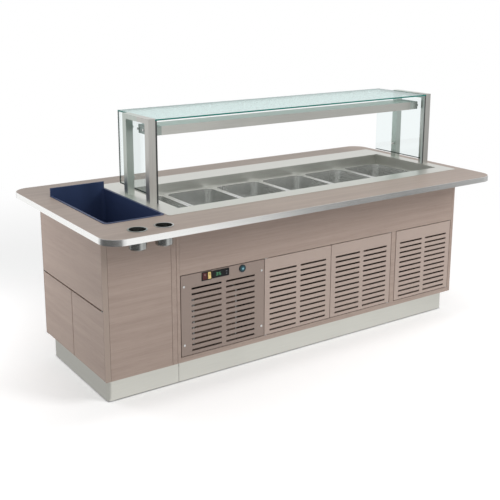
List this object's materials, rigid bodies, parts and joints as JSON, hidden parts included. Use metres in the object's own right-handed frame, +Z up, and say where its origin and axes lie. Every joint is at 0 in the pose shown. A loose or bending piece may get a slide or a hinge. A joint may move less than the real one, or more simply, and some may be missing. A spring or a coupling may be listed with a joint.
{
  "type": "buffet island",
  "caption": "Free-standing refrigerated buffet island: panelled cabinet with louvre doors, wide rounded worktop, pan well under a lit glass canopy, bottle cups and a crockery bin.",
  "frame": {"origin": "on the floor, under the middle of the worktop", "axes": "+X along the island from the bin end to the other end, +Y from the louvred front to the back, +Z up"},
  "size_m": [2.515, 1.225, 1.34],
  "materials": {
    "laminate": "grey-taupe laminate with a fine horizontal grain",
    "stainless": "satin stainless",
    "corner_profile": "painted to match the laminate",
    "louvre_paint": "satin taupe paint",
    "clear_glass": "clear tempered glass",
    "navy_plastic": "glossy navy",
    "black_plastic": "matt black",
    "grey_plastic": "matt dark grey",
    "display": "glossy black display",
    "red_plastic": "translucent red",
    "yellow_plastic": "translucent yellow",
    "blue_plastic": "translucent blue",
    "opal_plastic": "opal",
    "foam": "rigid foam",
    "frame_steel": "grey paint",
    "black_paint": "gloss black paint",
    "fin_aluminium": "plain",
    "copper": "plain copper colour"
  },
  "bodies": {
    "cabinet": {"base_frame": "frame_steel", "button_ring": "black_plastic", "canopy_frame_left": "stainless", "canopy_frame_right": "stainless", "compressor": "black_paint", "condenser": "fin_aluminium", "corner_posts": "corner_profile", "edge_band": "stainless", "end_cross_rail": "laminate", "end_door_pivots": "stainless", "end_front_panel": "laminate", "end_panes": "clear_glass", "end_side_panel": "laminate", "end_upper_panel": "laminate", "fixing_screws": "stainless", "floor_panels": "laminate", "front_fascia": "laminate", "front_mullion": "laminate", "lamp_diffuser": "opal_plastic", "lamp_end_caps": "grey_plastic", "lamp_housing": "stainless", "levelling_feet": "stainless", "louvre_door_pivots": "stainless", "main_left_panel": "laminate", "pane_channels": "black_plastic", "plinth_end": "stainless", "plinth_main": "stainless", "rear_panels": "laminate", "refrigerant_pipes": "copper", "right_end_panel": "laminate", "rocker_frame": "black_plastic", "service_panel": "louvre_paint", "service_partition": "laminate", "tank_insulation": "foam", "thermostat_case": "black_plastic", "thermostat_window": "display", "top_glass": "clear_glass", "well_collar": "stainless", "well_tank": "stainless", "worktop": "laminate"},
    "end_door_front": {"end_door_front": "laminate"},
    "end_door_rear": {"end_door_rear": "laminate"},
    "louvre_door_left": {"louvre_door_left": "louvre_paint"},
    "louvre_door_middle": {"louvre_door_middle": "louvre_paint"},
    "louvre_door_right": {"louvre_door_right": "louvre_paint"},
    "rocker_red": {"rocker_red": "red_plastic"},
    "rocker_yellow": {"rocker_yellow": "yellow_plastic"},
    "thermostat_key_up": {"thermostat_key_up": "black_plastic"},
    "thermostat_key_down": {"thermostat_key_down": "black_plastic"},
    "push_button": {"push_button": "blue_plastic"},
    "pan_1": {"pan_1": "stainless"},
    "pan_2": {"pan_2": "stainless"},
    "pan_3": {"pan_3": "stainless"},
    "pan_4": {"pan_4": "stainless"},
    "pan_5": {"pan_5": "stainless"},
    "condiment_tray": {"condiment_tray": "stainless"},
    "bottle_cup_left": {"bottle_cup_left": "stainless"},
    "bottle_cup_right": {"bottle_cup_right": "stainless"},
    "crockery_bin": {"crockery_bin": "navy_plastic"},
    "fan": {"fan_blade": "black_plastic"}
  },
  "joints": [
    {"name": "end_door_front_hinge", "type": "hinge", "parent": "cabinet", "child": "end_door_front", "pos_m": [-1.1785, -0.3664, 0.306], "axis": [0, 0, 1], "range_deg": [0, 100]},
    {"name": "end_door_rear_hinge", "type": "hinge", "parent": "cabinet", "child": "end_door_rear", "pos_m": [-1.1785, 0.3664, 0.306], "axis": [0, 0, -1], "range_deg": [0, 100]},
    {"name": "louvre_left_hinge", "type": "hinge", "parent": "cabinet", "child": "louvre_door_left", "pos_m": [-0.2405, -0.376, 0.371], "axis": [0, 0, -1], "range_deg": [0, 100]},
    {"name": "louvre_middle_hinge", "type": "hinge", "parent": "cabinet", "child": "louvre_door_middle", "pos_m": [0.65283, -0.376, 0.371], "axis": [0, 0, 1], "range_deg": [0, 100]},
    {"name": "louvre_right_hinge", "type": "hinge", "parent": "cabinet", "child": "louvre_door_right", "pos_m": [1.1475, -0.376, 0.371], "axis": [0, 0, 1], "range_deg": [0, 100]},
    {"name": "rocker_red_tilt", "type": "hinge", "parent": "cabinet", "child": "rocker_red", "pos_m": [-0.622, -0.378, 0.561], "axis": [1, 0, 0], "range_deg": [0, 12]},
    {"name": "rocker_yellow_tilt", "type": "hinge", "parent": "cabinet", "child": "rocker_yellow", "pos_m": [-0.595, -0.378, 0.561], "axis": [1, 0, 0], "range_deg": [0, 12]},
    {"name": "key_up_press", "type": "slide", "parent": "cabinet", "child": "thermostat_key_up", "axis": [0, 1, 0], "range_m": [0, 0.0006], "stiffness_N_per_m": 1000},
    {"name": "key_down_press", "type": "slide", "parent": "cabinet", "child": "thermostat_key_down", "axis": [0, 1, 0], "range_m": [0, 0.0006], "stiffness_N_per_m": 1000},
    {"name": "button_press", "type": "slide", "parent": "cabinet", "child": "push_button", "axis": [0, 1, 0], "range_m": [0, 0.004], "stiffness_N_per_m": 400},
    {"name": "pan_1_lift", "type": "slide", "parent": "cabinet", "child": "pan_1", "axis": [0, 0, 1], "range_m": [0, 0.2]},
    {"name": "pan_2_lift", "type": "slide", "parent": "cabinet", "child": "pan_2", "axis": [0, 0, 1], "range_m": [0, 0.2]},
    {"name": "pan_3_lift", "type": "slide", "parent": "cabinet", "child": "pan_3", "axis": [0, 0, 1], "range_m": [0, 0.2]},
    {"name": "pan_4_lift", "type": "slide", "parent": "cabinet", "child": "pan_4", "axis": [0, 0, 1], "range_m": [0, 0.2]},
    {"name": "pan_5_lift", "type": "slide", "parent": "cabinet", "child": "pan_5", "axis": [0, 0, 1], "range_m": [0, 0.2]},
    {"name": "tray_lift", "type": "slide", "parent": "cabinet", "child": "condiment_tray", "axis": [0, 0, 1], "range_m": [0, 0.16]},
    {"name": "cup_left_lift", "type": "slide", "parent": "cabinet", "child": "bottle_cup_left", "axis": [0, 0, 1], "range_m": [0, 0.12]},
    {"name": "cup_right_lift", "type": "slide", "parent": "cabinet", "child": "bottle_cup_right", "axis": [0, 0, 1], "range_m": [0, 0.12]},
    {"name": "bin_lift", "type": "slide", "parent": "cabinet", "child": "crockery_bin", "axis": [0, 0, 1], "range_m": [0, 0.2]},
    {"name": "fan_spin", "type": "hinge", "parent": "cabinet", "child": "fan", "pos_m": [-0.5275, -0.25, 0.3145], "axis": [0, 1, 0], "continuous": true}
  ]
}
